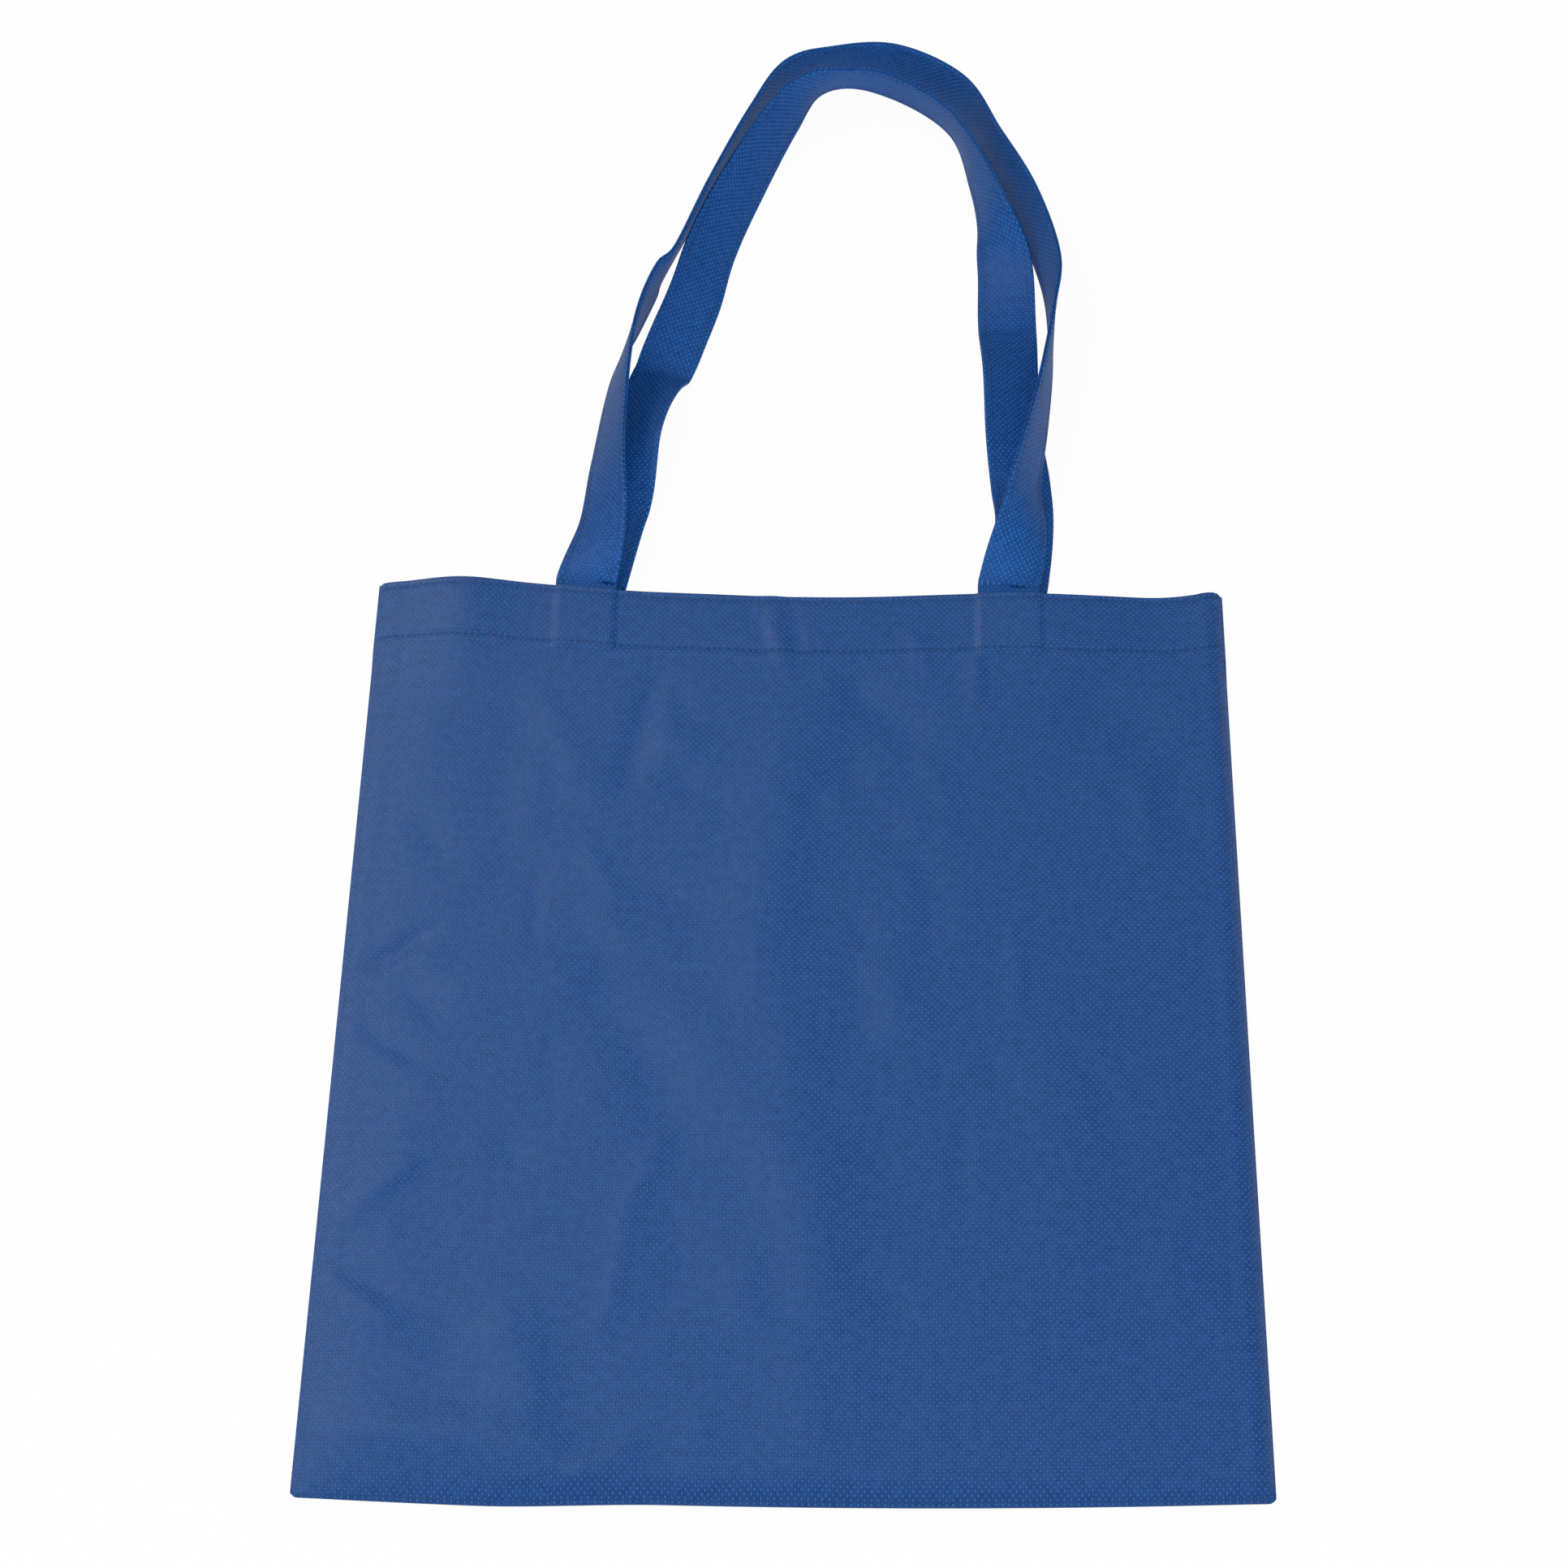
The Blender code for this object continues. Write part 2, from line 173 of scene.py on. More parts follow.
# Ridges and hollows of the front panel: line, half width and height, all in mm
CREASES = [
    (
        [(0, 190), (-4, 110), (-10, 67), (-13, 28), (-3, -20), (3, -56), (13, -109), (12, -152), (10, -250)],
        19,
        1.7,
    ),
    ([(28, 40), (29, -5), (27, -50)], 9, -0.6),
    ([(-128, 170), (-122, 110), (-124, 60), (-130, 30)], 16, -0.6),
    ([(-150, 6), (-112, 12), (-74, 6)], 12, 1.3),
    ([(-112, -8), (-78, -4), (-61, -22), (-50, -50), (-36, -82)], 12, -1.0),
    ([(-62, 14), (-34, -18), (-20, -50), (0, -80), (6, -118)], 13, 0.7),
    ([(-68, -130), (-65, -93), (-45, -50)], 5, 0.6),
    ([(-48, -78), (-42, -119), (-46, -153)], 11, -0.6),
    ([(-198, 10), (-172, 19), (-150, 34)], 4, -2.2),
    ([(-184, -6), (-167, -21), (-150, -30)], 4.5, -1.5),
    ([(-190, -110), (-170, -88), (-146, -68)], 5, 1.7),
    ([(-206, -104), (-180, -117), (-150, -135)], 4.5, -1.3),
    ([(-198, -120), (-174, -134), (-146, -150)], 7, 1.6),
    ([(-117, -132), (-106, -156), (-98, -186)], 13, 1.5),
    ([(-88, -209), (-69, -200), (-52, -190)], 5, 1.5),
    ([(-240, -186), (-160, -186), (-115, -189), (-60, -206)], 12, 2.8),
    ([(-76, -150), (-70, -136), (-67, -116)], 5, 0.6),
    ([(-13, 214), (-10, 186), (-6, 162)], 4.0, 1.1),
    ([(-23, 206), (-19, 188), (-14, 170)], 4.0, -0.5),
    ([(-5, 206), (-2, 184), (3, 168)], 4.0, -0.8),
    ([(-60, 168), (-68, 133), (-76, 95)], 6, -1.1),
    ([(16, 162), (38, 139), (60, 122)], 12, -1.3),
    ([(38, 128), (16, 105), (0, 88)], 10, -1.0),
    ([(51, 190), (56, 158)], 4, 0.8),
    ([(79, 178), (79, 140)], 4, 0.7),
    ([(118, 162), (162, 120)], 16, -1.3),
    ([(-64, 128), (-38, 122)], 8, 0.8),
    ([(-58, 112), (-28, 92)], 8, -0.7),
    ([(30, 26), (54, -20)], 12, 0.9),
    ([(95, 40), (94, -10)], 4, 0.5),
    ([(72, -50), (69, -96)], 4, -0.5),
    ([(150, 124), (152, 64)], 5, 0.6),
    ([(110, 20), (116, -60), (112, -140)], 22, 0.9),
    ([(150, -20), (160, -90), (158, -150)], 16, 0.8),
]
CRUMPLE_SEED = 11
CRUMPLES = 90


def crumple_lines():
    """Short shallow creases all over the panel, more of them on its left half, with a fixed seed."""
    random = np.random.RandomState(CRUMPLE_SEED)
    lines = []
    for number in range(CRUMPLES):
        x = random.uniform(-185, 60) if number % 3 else random.uniform(20, 180)
        y = random.uniform(-195, 165)
        angle = random.normal(math.radians(95), 0.55)
        length = random.uniform(18, 60)
        bend = random.uniform(-0.25, 0.25) * length
        step = np.array([math.cos(angle), math.sin(angle)]) * length / 2
        middle = np.array([x, y])
        aside = np.array([-step[1], step[0]]) / (length / 2) * bend
        width = random.uniform(2.6, 8)
        height = random.choice([-1, 1]) * width * random.uniform(0.045, 0.09)
        lines.append(([tuple(middle - step), tuple(middle + aside), tuple(middle + step)], width, height))
    return lines


CREASES += crumple_lines()


def corner_cut(x, radius):
    """How far a rounded corner leaves the edge, at a place across the bag."""
    inwards = np.clip(1 - (HALF_WIDTH - np.abs(x)) / radius, 0, 1)
    return radius * (1 - np.sqrt(1 - inwards**2))


def mouth_y(x):
    dips = sum(depth * MM * bell((x - place * MM) / (width * MM)) for place, width, depth in MOUTH_DIPS)
    return HALF_HEIGHT - dips - corner_cut(x, MOUTH_CORNER)


def bottom_y(x):
    bow = BOTTOM_BOW * (1 - (x / HALF_WIDTH) ** 2) + LEFT_SAG * smooth((-x - 45 * MM) / (75 * MM))
    return -HALF_HEIGHT - bow + corner_cut(x, BOTTOM_CORNER)


def side_turn(below):
    return mix(HEM_TURN, SIDE_TURN, smooth((below - HEM_DEPTH - 2 * MM) / (12 * MM)))


def edge_gap(below):
    return PITCH / 2 + 2 * side_turn(below)


def fold_gap(x):
    from_side = HALF_WIDTH - np.abs(x)
    return mix(edge_gap(BAG_HEIGHT), BOTTOM_FOLD, smooth(from_side / (12 * MM)))


# %% [markdown]
# Sewing marks the cloth. A stitched row pulls it down, the edge of a layer underneath shows as a faint
# step, and the ends of the handles stand out through the hem.


# %% Marks of the sewing
HANDLE_ENDS = [(-95.6 * MM, 25.6 * MM), (94.2 * MM, 27.2 * MM)]  # middle and width of what shows on the hem


def sewing_marks(x, below):
    """How far the seams, the stitches and the layers underneath raise or lower the front cloth."""
    marks = -0.50 * MM * bell((below - MOUTH_STITCH) / (0.9 * MM))
    marks = marks - 0.60 * MM * bell((below - HEM_STITCH) / (1.1 * MM))
    marks = marks + 0.35 * MM * (1 - smooth((below - HEM_DEPTH) / (2.2 * MM)))
    on_hem = 1 - smooth((below - HEM_DEPTH + 3 * MM) / (5 * MM))
    for middle, width in HANDLE_ENDS:
        beside = np.abs(x - middle) - width / 2
        marks = marks + 1.1 * MM * (1 - smooth((beside + 0.3 * MM) / (1.8 * MM))) * on_hem
    from_side = HALF_WIDTH - np.abs(x)
    marks = marks - 0.30 * MM * bell((from_side - 2.8 * MM) / (0.9 * MM))
    marks = marks + 0.30 * MM * (1 - smooth((from_side - SEAM_ALLOWANCE) / (3 * MM)))
    return marks


# %% The height of the front panel
def front_height(x, y):
    """Height of the middle of the front cloth over the table."""
    above = y - bottom_y(x)
    below = mouth_y(x) - y
    body = FRONT_RISE * mix(1, RIGHT_SHARE, smooth((x - RIGHT_FALL[0]) / RIGHT_FALL[1]))
    body = body * mix(1, LEFT_SHARE, smooth((-x - LEFT_FALL[0]) / LEFT_FALL[1]))
    waves = sum(height * MM * bell((x - place * MM) / (width * MM)) for place, width, height in MOUTH_WAVES)
    height = mix(MOUTH_RISE, body, smooth(below / MOUTH_REACH))
    height = height + waves * (1 - smooth(below / WAVE_REACH))
    creased = sum(ridge(x, y, *crease) for crease in CREASES)
    height = height + creased * mix(CREASE_SHARE_ON_HEM, 1, smooth(below / HEM_CREASE_REACH))
    side = CLOTH / 2 + 2 * edge_gap(below)
    from_side = HALF_WIDTH - side_turn(below) - np.abs(x)
    left_settle = mix(*LEFT_SETTLE, smooth((below - SETTLE_CHANGE[0]) / SETTLE_CHANGE[1]))
    settle = np.where(x < 0, left_settle, RIGHT_SETTLE)
    height = mix(side, np.maximum(height, side), bulge(from_side / settle))
    height = height + sewing_marks(x, below) * smooth((from_side + 0.2 * MM) / (1.5 * MM))
    fold = CLOTH / 2 + 2 * fold_gap(x)
    bottom_settle = mix(*BOTTOM_SETTLE, smooth((x + 190 * MM) / (150 * MM)))
    return mix(fold, height, bulge((above - fold_gap(x)) / bottom_settle))


# %% [markdown]
# ## The bag's cloth
#
# The body is one rectangle of cloth. A grid stands for it while it is flat: its columns run along the
# bag and its rows run across. Each point is then moved to where the folding brings it. The flat places
# become the UV map, in metres, so the pattern on the cloth keeps its real scale through every fold.


# %% Columns and rows of the flat cloth
def spaced(low, high, fine_places, coarse, fine, reach):
    """Places from low to high, closer together near the fine places."""
    places = [low]
    while places[-1] < high:
        near = min(abs(places[-1] - place) for place in fine_places)
        step = fine if near < reach else min(coarse, max(fine, (near - reach) * 0.6 + fine))
        places.append(places[-1] + step)
    places[-1] = high
    return places


def body_columns():
    """Columns of (side, turn angle, distance past the turn, place on the panel), and their flat places."""
    half = HALF_WIDTH - SIDE_TURN
    edges = [middle + side * width / 2 for middle, width in HANDLE_ENDS for side in (-1, 1)]
    panel = spaced(-half, half, edges + [-half, half], 2.8 * MM, 1.1 * MM, 4 * MM)
    turns = [math.pi * step / 6 for step in range(1, 7)]
    turn_length = SIDE_TURN * math.pi
    left = [(-1, math.pi, SEAM_ALLOWANCE * share, -half) for share in (1, 0.5)]
    left += [(-1, angle, 0.0, -half) for angle in reversed(turns)]
    middle = [(0, 0.0, 0.0, place) for place in panel]
    right = [(1, angle, 0.0, half) for angle in turns]
    right += [(1, math.pi, SEAM_ALLOWANCE * share, half) for share in (0.5, 1)]
    columns = left + middle + right
    flat = [place + side * (angle / math.pi * turn_length + past) for side, angle, past, place in columns]
    return np.array(columns), np.array(flat)


def body_rows():
    """Rows of (angle over the bottom fold, distance below the mouth, hem angle), and their flat places."""
    top = PITCH / 2 + CLOTH / 2
    last = BAG_HEIGHT - 2 * MM
    front = spaced(top, last, [top, HEM_STITCH, HEM_DEPTH, last], 2.8 * MM, 1.0 * MM, 3.5 * MM)
    back = spaced(top, last, [top, HEM_STITCH, last], 9 * MM, 1.6 * MM, 3 * MM)
    hem = spaced(top, HEM_DEPTH, [top], 5 * MM, 1.2 * MM, 2 * MM)
    turns = [math.pi * step / 6 for step in range(1, 6)]
    rows = [(0.0, below, math.pi) for below in reversed(hem)]
    rows += [(0.0, top, angle) for angle in reversed(turns)]
    rows += [(0.0, below, 0.0) for below in front]
    rows += [(math.pi * step / 8, BAG_HEIGHT, 0.0) for step in range(9)]
    rows += [(math.pi, below, 0.0) for below in reversed(back)]
    rows += [(math.pi, top, angle) for angle in turns]
    rows += [(math.pi, below, math.pi) for below in hem]
    rows = np.array(rows)
    over, below, hem_angle = np.abs(np.diff(rows, axis=0))[:, :3].T
    steps = below + hem_angle * PITCH / 2 + over * BOTTOM_FOLD
    return rows, np.concatenate([[0.0], np.cumsum(steps)])


columns, flat_across = body_columns()
rows, flat_along = body_rows()


# %% Fold the flat cloth
def folded_body():
    """The middle of the cloth's thickness at every row and column."""
    side, turn, past, place = (part[None, :] for part in columns.T)
    over, below, hem = (part[:, None] for part in rows.T)
    in_fold = below >= BAG_HEIGHT
    inset = PITCH / 2 * (1 - np.cos(hem))
    radius = side_turn(below)
    straight = HALF_WIDTH - radius
    x = np.where(side == 0, place * straight / (HALF_WIDTH - SIDE_TURN), side * straight) + 0 * over
    low_y = bottom_y(x) + CLOTH / 2 + fold_gap(x)
    y = np.maximum(low_y, mouth_y(x) - below * (mouth_y(x) - bottom_y(x)) / BAG_HEIGHT)
    y = np.where(in_fold, low_y, y)
    gap = (front_height(x, y) - CLOTH / 2) / 2
    on_back = over > 3
    panel_height = gap - inset
    turned_height = PITCH / 2 + radius + (radius - inset) * np.cos(turn)
    height = np.where(side == 0, panel_height, turned_height)
    x = x + side * (radius - inset) * np.sin(turn) - side * past
    marks = 0.25 * MM * (bell((below - HEM_STITCH) / (1.2 * MM)) + bell((below - MOUTH_STITCH) / MM))
    lift = np.where(on_back & (side == 0), marks * smooth((HALF_WIDTH - np.abs(x)) / (5 * MM)), 0.0)
    z = gap + CLOTH / 2 + height * np.cos(over) + lift
    return np.stack([x, y + PITCH / 2 * np.sin(hem) - height * np.sin(over), z], axis=-1)


body_points = folded_body()
print("lowest and highest middle of the cloth:", body_points[..., 2].min(), body_points[..., 2].max())


# %% [markdown]
# A sheet is a grid of faces with a thickness added. The Solidify modifier is applied straight away, so
# what is kept is a plain closed mesh.


# %% Make a sheet from a grid of points
def sheet_mesh(name, points, across, along, thickness, offset=0.0):
    """A closed sheet of cloth over a grid of points, with its flat places as UVs in metres."""
    count_rows, count_columns = points.shape[:2]
    index = np.arange(count_rows * count_columns).reshape(count_rows, count_columns)
    faces = np.stack([index[:-1, :-1], index[:-1, 1:], index[1:, 1:], index[1:, :-1]], axis=-1).reshape(-1, 4)
    mesh = bpy.data.meshes.new(name)
    mesh.from_pydata(points.reshape(-1, 3).tolist(), [], faces.tolist())
    flat = np.stack(np.meshgrid(across, along), axis=-1).reshape(-1, 2)
    layer = mesh.uv_layers.new(name="cloth")
    layer.data.foreach_set("uv", flat[faces.reshape(-1)].reshape(-1))
    made = bpy.data.objects.new(name, mesh)
    bpy.context.scene.collection.objects.link(made)
    solid = made.modifiers.new("cloth_thickness", "SOLIDIFY")
    solid.thickness = thickness
    solid.offset = offset
    evaluated = made.evaluated_get(bpy.context.evaluated_depsgraph_get())
    whole = bpy.data.meshes.new_from_object(evaluated)
    made.modifiers.clear()
    made.data = whole
    bpy.data.meshes.remove(mesh)
    whole.name = name
    whole.shade_smooth()
    return made


bag_cloth = sheet_mesh("bag_cloth", body_points, flat_across, flat_along, CLOTH)
print("bag_cloth:", len(bag_cloth.data.polygons), "faces")

# %% [markdown]
# ## The handles
#
# Each handle is one long strip. Its edges are turned in, it is folded in half, and both long edges are
# sewn, so it is four layers thick. It comes out of the hem flat and turns on edge through the arch.
# A route gives its way over the table: half the spacing across, its rise past the mouth, and its lean.

# %% Routes of the handles
HANDLE_SPACING = 190 * MM
HANDLE_TUCK = HEM_DEPTH - 2 * MM
HANDLE_FLAT_RUN = 5 * MM
HANDLE_CLEARANCE = 0.3 * MM
FOLD_INSET = 3 * MM
TABLE_GAP = 0.1 * MM
ROUTE_STEPS = 1600
STATION = 2.6 * MM

FRONT = {
    "rise": 310 * MM,
    "middle": -1 * MM,
    "settle": 110 * MM,
    "on_front": True,
    "route": [
        (-1.00, 0.000, 0),
        (-0.935, 0.090, 34),
        (-0.925, 0.210, 54),
        (-0.885, 0.370, 68),
        (-0.81, 0.465, 83),
        (-0.73, 0.540, 84),
        (-0.67, 0.580, 73),
        (-0.50, 0.715, 78),
        (-0.29, 0.860, 84),
        (-0.12, 0.955, 84),
        (0.12, 0.995, 74),
        (0.47, 0.990, 85),
        (0.80, 0.920, 95),
        (0.98, 0.810, 96),
        (1.13, 0.695, 106),
        (1.24, 0.565, 104),
        (1.24, 0.470, 92),
        (1.22, 0.395, 84),
        (1.17, 0.290, 76),
        (1.10, 0.175, 64),
        (1.07, 0.090, 38),
        (1.00, 0.000, 0),
    ],
}
BACK = {
    "rise": 296 * MM,
    "middle": 3 * MM,
    "settle": 60 * MM,
    "on_front": False,
    "route": [
        (-1.00, 0.000, 0),
        (-0.93, 0.115, 2),
        (-0.89, 0.170, -5),
        (-0.84, 0.275, -28),
        (-0.77, 0.375, -15),
        (-0.67, 0.460, 21),
        (-0.58, 0.550, 31),
        (-0.50, 0.655, 41),
        (-0.36, 0.775, 52),
        (-0.13, 0.930, 74),
        (0.09, 1.000, 112),
        (0.37, 0.990, 108),
        (0.68, 0.915, 103),
        (0.83, 0.805, 82),
        (0.91, 0.710, 64),
        (0.97, 0.625, 26),
        (0.98, 0.525, 5),
        (0.99, 0.415, -17),
        (1.00, 0.290, -16),
        (1.03, 0.200, 0),
        (1.04, 0.110, -14),
        (1.00, 0.000, 0),
    ],
}


# %% The strip's folded section
LOOSEST = 1.2  # how much further apart than when pressed flat the layers lie in the middle of the strip
HANDLE_THICKNESS = 3 * PITCH * LOOSEST + CLOTH
HANDLE_STITCH = HANDLE_WIDTH / 2 - 3.2 * MM  # distance of each row of stitches from the strip's middle


def strip_section():
    """(across, up, place on the flat strip) from one turned-in raw edge of the strip to the other."""
    half = HANDLE_WIDTH / 2 - CLOTH / 2
    small = PITCH / 2
    open_side = half - small
    fold_side = -half + 3 * small
    layer = np.linspace(0, 1, 9)
    upper = [(mix(fold_side + FOLD_INSET, open_side, share), small) for share in layer]
    upper += [(open_side + small * math.sin(a), 2 * small - small * math.cos(a)) for a in (0.8, 1.57, 2.34)]
    upper += [(mix(open_side, fold_side, share), 3 * small) for share in np.linspace(0, 1, 13)]
    bend = [math.pi * step / 6 for step in range(1, 6)]
    middle = [(fold_side - 3 * small * math.sin(a), 3 * small * math.cos(a)) for a in bend]
    section = np.array(upper + middle + [(across, -up) for across, up in reversed(upper)])
    steps = np.hypot(*np.diff(section, axis=0).T)
    flat = np.concatenate([[0.0], np.cumsum(steps)])
    return section, flat


def plumpness(across):
    """How the strip's layers stand apart: pressed together by the stitches, a little loose in the middle."""
    from_middle = np.abs(across) / (HANDLE_WIDTH / 2)
    loose = mix(LOOSEST, 1.05, smooth(from_middle / 0.75))
    return loose - 0.30 * bell((np.abs(across) - HANDLE_STITCH) / (1.2 * MM))


# %% Follow the route
def curve_through(points, count):
    """A smooth curve through evenly counted points."""
    points = np.array(points, float)
    place = np.linspace(0, len(points) - 1, count)
    index = np.minimum(place.astype(int), len(points) - 2)
    t = (place - index)[:, None]
    before, start = points[np.maximum(index - 1, 0)], points[index]
    end, after = points[index + 1], points[np.minimum(index + 2, len(points) - 1)]
    bend = (2 * before - 5 * start + 4 * end - after) * t**2 + (3 * start - before - 3 * end + after) * t**3
    return 0.5 * (2 * start + (end - before) * t + bend)


def hem_face(x, y, on_front):
    stack = PITCH + CLOTH / 2 + HANDLE_CLEARANCE + HANDLE_THICKNESS / 2
    if not on_front:
        return CLOTH / 2 + stack
    edges = x + HANDLE_WIDTH * np.linspace(-0.5, 0.5, 9)
    return float(front_height(edges, np.full(9, y)).min()) - stack


def handle_stations(handle):
    """Along the handle: middle of the strip, direction across it, direction along it, and distance."""
    half_spacing = HANDLE_SPACING / 2
    points = [
        (handle["middle"] + across * half_spacing, share * handle["rise"], lean)
        for across, share, lean in handle["route"]
    ]
    ends = (points[0][0], points[-1][0])
    root_y = [float(mouth_y(x)) + HANDLE_FLAT_RUN for x in ends]
    fine = curve_through(points, ROUTE_STEPS + 1)
    travelled = np.concatenate([[0.0], np.cumsum(np.hypot(*np.diff(fine[:, :2], axis=0).T))])
    length = travelled[-1]
    straight = HANDLE_TUCK + HANDLE_FLAT_RUN
    along = np.arange(-straight, length + straight + STATION / 2, STATION)
    along = np.concatenate([along, [0.0, length]])
    along = np.unique(np.round(along, 6))
    on_route = np.clip(along, 0, length)
    x, up, lean = (np.interp(on_route, travelled, fine[:, part]) for part in range(3))
    tucked = np.maximum(0.0, np.maximum(-along, along - length))
    y = mix(root_y[0], root_y[1], on_route / length) + up - tucked
    angle = np.radians(lean)
    resting = HANDLE_WIDTH / 2 * np.abs(np.sin(angle)) + HANDLE_THICKNESS / 2 * np.abs(np.cos(angle))
    second = along > length / 2
    on_hem = np.array([
        hem_face(ends[int(is_second)], root_y[int(is_second)] - down, handle["on_front"])
        for is_second, down in zip(second, tucked)
    ])
    flat_rest = HANDLE_THICKNESS / 2 + TABLE_GAP
    past = np.minimum(on_route, length - on_route)
    z = resting + TABLE_GAP + (on_hem - flat_rest) * bell(past / handle["settle"])
    middle = np.stack([x, y, z], axis=1)
    flat_way = np.gradient(middle[:, :2], axis=0)
    tucked_in = tucked > 0
    flat_way[tucked_in] = np.where(second[tucked_in, None], [0.0, -1.0], [0.0, 1.0])
    flat_way /= np.linalg.norm(flat_way, axis=1)[:, None]
    inward = np.stack([flat_way[:, 1], -flat_way[:, 0], 0 * x], axis=1)
    rise_side = 1 if handle["on_front"] else -1
    across = inward * np.cos(angle)[:, None]
    across[:, 2] += rise_side * np.sin(angle)
    way = np.gradient(middle, axis=0)
    way /= np.linalg.norm(way, axis=1)[:, None]
    across -= way * (across * way).sum(axis=1)[:, None]
    across /= np.linalg.norm(across, axis=1)[:, None]
    return middle, across, way, along - along[0]


# %% Make both handles
def handle_sheet(name, handle):
    middle, across, way, along = handle_stations(handle)
    section, flat = strip_section()
    face = np.cross(across, way)
    open_edge = 1 if handle["on_front"] else -1
    side = section[:, 0] * open_edge
    up = section[:, 1] * plumpness(section[:, 0]) * open_edge
    points = middle[:, None] + across[:, None] * side[None, :, None] + face[:, None] * up[None, :, None]
    made = sheet_mesh(name, points, flat, along, CLOTH)
    flat_size = (float(flat[-1]), float(along[-1]))
    print(f"{name}: strip {flat_size[0] / MM:.0f} x {flat_size[1] / MM:.0f} mm, {len(made.data.polygons)} faces")
    return made, flat_size


front_handle, FRONT_FLAT = handle_sheet("front_handle_cloth", FRONT)
rear_handle, REAR_FLAT = handle_sheet("rear_handle_cloth", BACK)

# %% [markdown]
# ## Stitches
#
# Each stitch is a short thread that dips into the cloth at both ends. All rows are made the same way,
# from a line of places on the cloth and the direction that faces out of it.

# %% Make rows of stitches
STITCH_LENGTH = 3.2 * MM
STITCH_GAP = 0.5 * MM
STITCH_DIP = 0.28 * MM
THREAD = 0.24 * MM  # half the thread's thickness


def stitches(name, lines):
    """One mesh of stitches along lines, each given as places and outward directions."""
    verts, faces = [], []
    sides, rings = 6, 5
    for places, outward in lines:
        steps = np.linalg.norm(np.diff(places, axis=0), axis=1)
        travelled = np.concatenate([[0.0], np.cumsum(steps)])
        count = int(travelled[-1] / STITCH_LENGTH)
        for number in range(count):
            start = number * STITCH_LENGTH + STITCH_GAP / 2
            ends = start + (STITCH_LENGTH - STITCH_GAP) * np.linspace(0, 1, rings)
            centre = np.stack([np.interp(ends, travelled, places[:, k]) for k in range(3)], axis=1)
            out = np.stack([np.interp(ends, travelled, outward[:, k]) for k in range(3)], axis=1)
            out /= np.linalg.norm(out, axis=1)[:, None]
            along = centre[-1] - centre[0]
            along /= np.linalg.norm(along)
            across = np.cross(along, out)
            share = np.linspace(-1, 1, rings)
            dip = -STITCH_DIP * share**4
            radius = THREAD * (1 - 0.45 * share**6)
            first = len(verts)
            for ring in range(rings):
                for corner in range(sides):
                    turn = 2 * math.pi * corner / sides
                    place = centre[ring] + out[ring] * (dip[ring] + radius[ring] * math.sin(turn))
                    verts.append(place + across[ring] * radius[ring] * math.cos(turn))
            for ring in range(rings - 1):
                for corner in range(sides):
                    a = first + ring * sides + corner
                    b = first + ring * sides + (corner + 1) % sides
                    faces.append((a, b, b + sides, a + sides))
            faces.append(tuple(first + corner for corner in reversed(range(sides))))
            faces.append(tuple(first + (rings - 1) * sides + corner for corner in range(sides)))
    mesh = bpy.data.meshes.new(name)
    mesh.from_pydata([tuple(v) for v in verts], [], faces)
    mesh.shade_smooth()
    made = bpy.data.objects.new(name, mesh)
    bpy.context.scene.collection.objects.link(made)
    print(name, len(faces), "faces")
    return made


def panel_line(below, on_back):
    """Places and outward directions along a row of stitches across a panel."""
    x = np.linspace(-HALF_WIDTH + 2 * MM, HALF_WIDTH - 2 * MM, 380)
    y = mouth_y(x) - below * (mouth_y(x) - bottom_y(x)) / BAG_HEIGHT
    if on_back:
        z = np.full_like(x, THREAD + 0.02 * MM)
        return np.stack([x, y, z], axis=1), np.tile([0.0, 0.0, -1.0], (len(x), 1))
    z = front_height(x, y) + CLOTH / 2 + 0.25 * THREAD
    slope = np.gradient(z, x)
    out = np.stack([-slope, 0 * x, 0 * x + 1], axis=1)
    return np.stack([x, y, z], axis=1), out


def handle_lines(handle):
    """Rows of stitches near both long edges, on both faces of a handle."""
    middle, across, way, along = handle_stations(handle)
    face = np.cross(across, way)
    lines = []
    up = 1.5 * PITCH * float(plumpness(np.array(HANDLE_STITCH))) + CLOTH / 2 + 0.3 * THREAD
    for side in (-1, 1):
        for outer in (-1, 1):
            places = middle + across * side * HANDLE_STITCH + face * outer * up
            lines.append((places, face * outer))
    return lines


mouth_lines = [panel_line(below, on_back) for below in (MOUTH_STITCH, HEM_STITCH) for on_back in (False, True)]
body_thread = stitches("mouth_stitches", mouth_lines)
front_thread = stitches("front_handle_stitches", handle_lines(FRONT))
rear_thread = stitches("rear_handle_stitches", handle_lines(BACK))

# %% [markdown]
# ## Materials
#
# The cloth is laid from fine threads of polypropylene, and pressed together in small round points.
# A node group makes that pattern of points once, from the UV map, for every material that needs it.
# The points are painted a little lighter than the threads between them: a painted highlight for the light their rims
# catch.


# %% Node group of the pressed points
def math_node(tree, operation, first, second=None):
    node = tree.nodes.new("ShaderNodeMath")
    node.operation = operation
    for socket, value in zip(node.inputs, (first, second)):
        if value is None:
            continue
        if isinstance(value, (int, float)):
            socket.default_value = value
        else:
            tree.links.new(value, socket)
    return node.outputs[0]


def vector_node(tree, operation, first, second=None):
    node = tree.nodes.new("ShaderNodeVectorMath")
    node.operation = operation
    for socket, value in zip(node.inputs, (first, second)):
        if value is None:
            continue
        if isinstance(value, tuple):
            socket.default_value = value
        else:
            tree.links.new(value, socket)
    return node.outputs["Value"] if operation == "LENGTH" else node.outputs["Vector"]


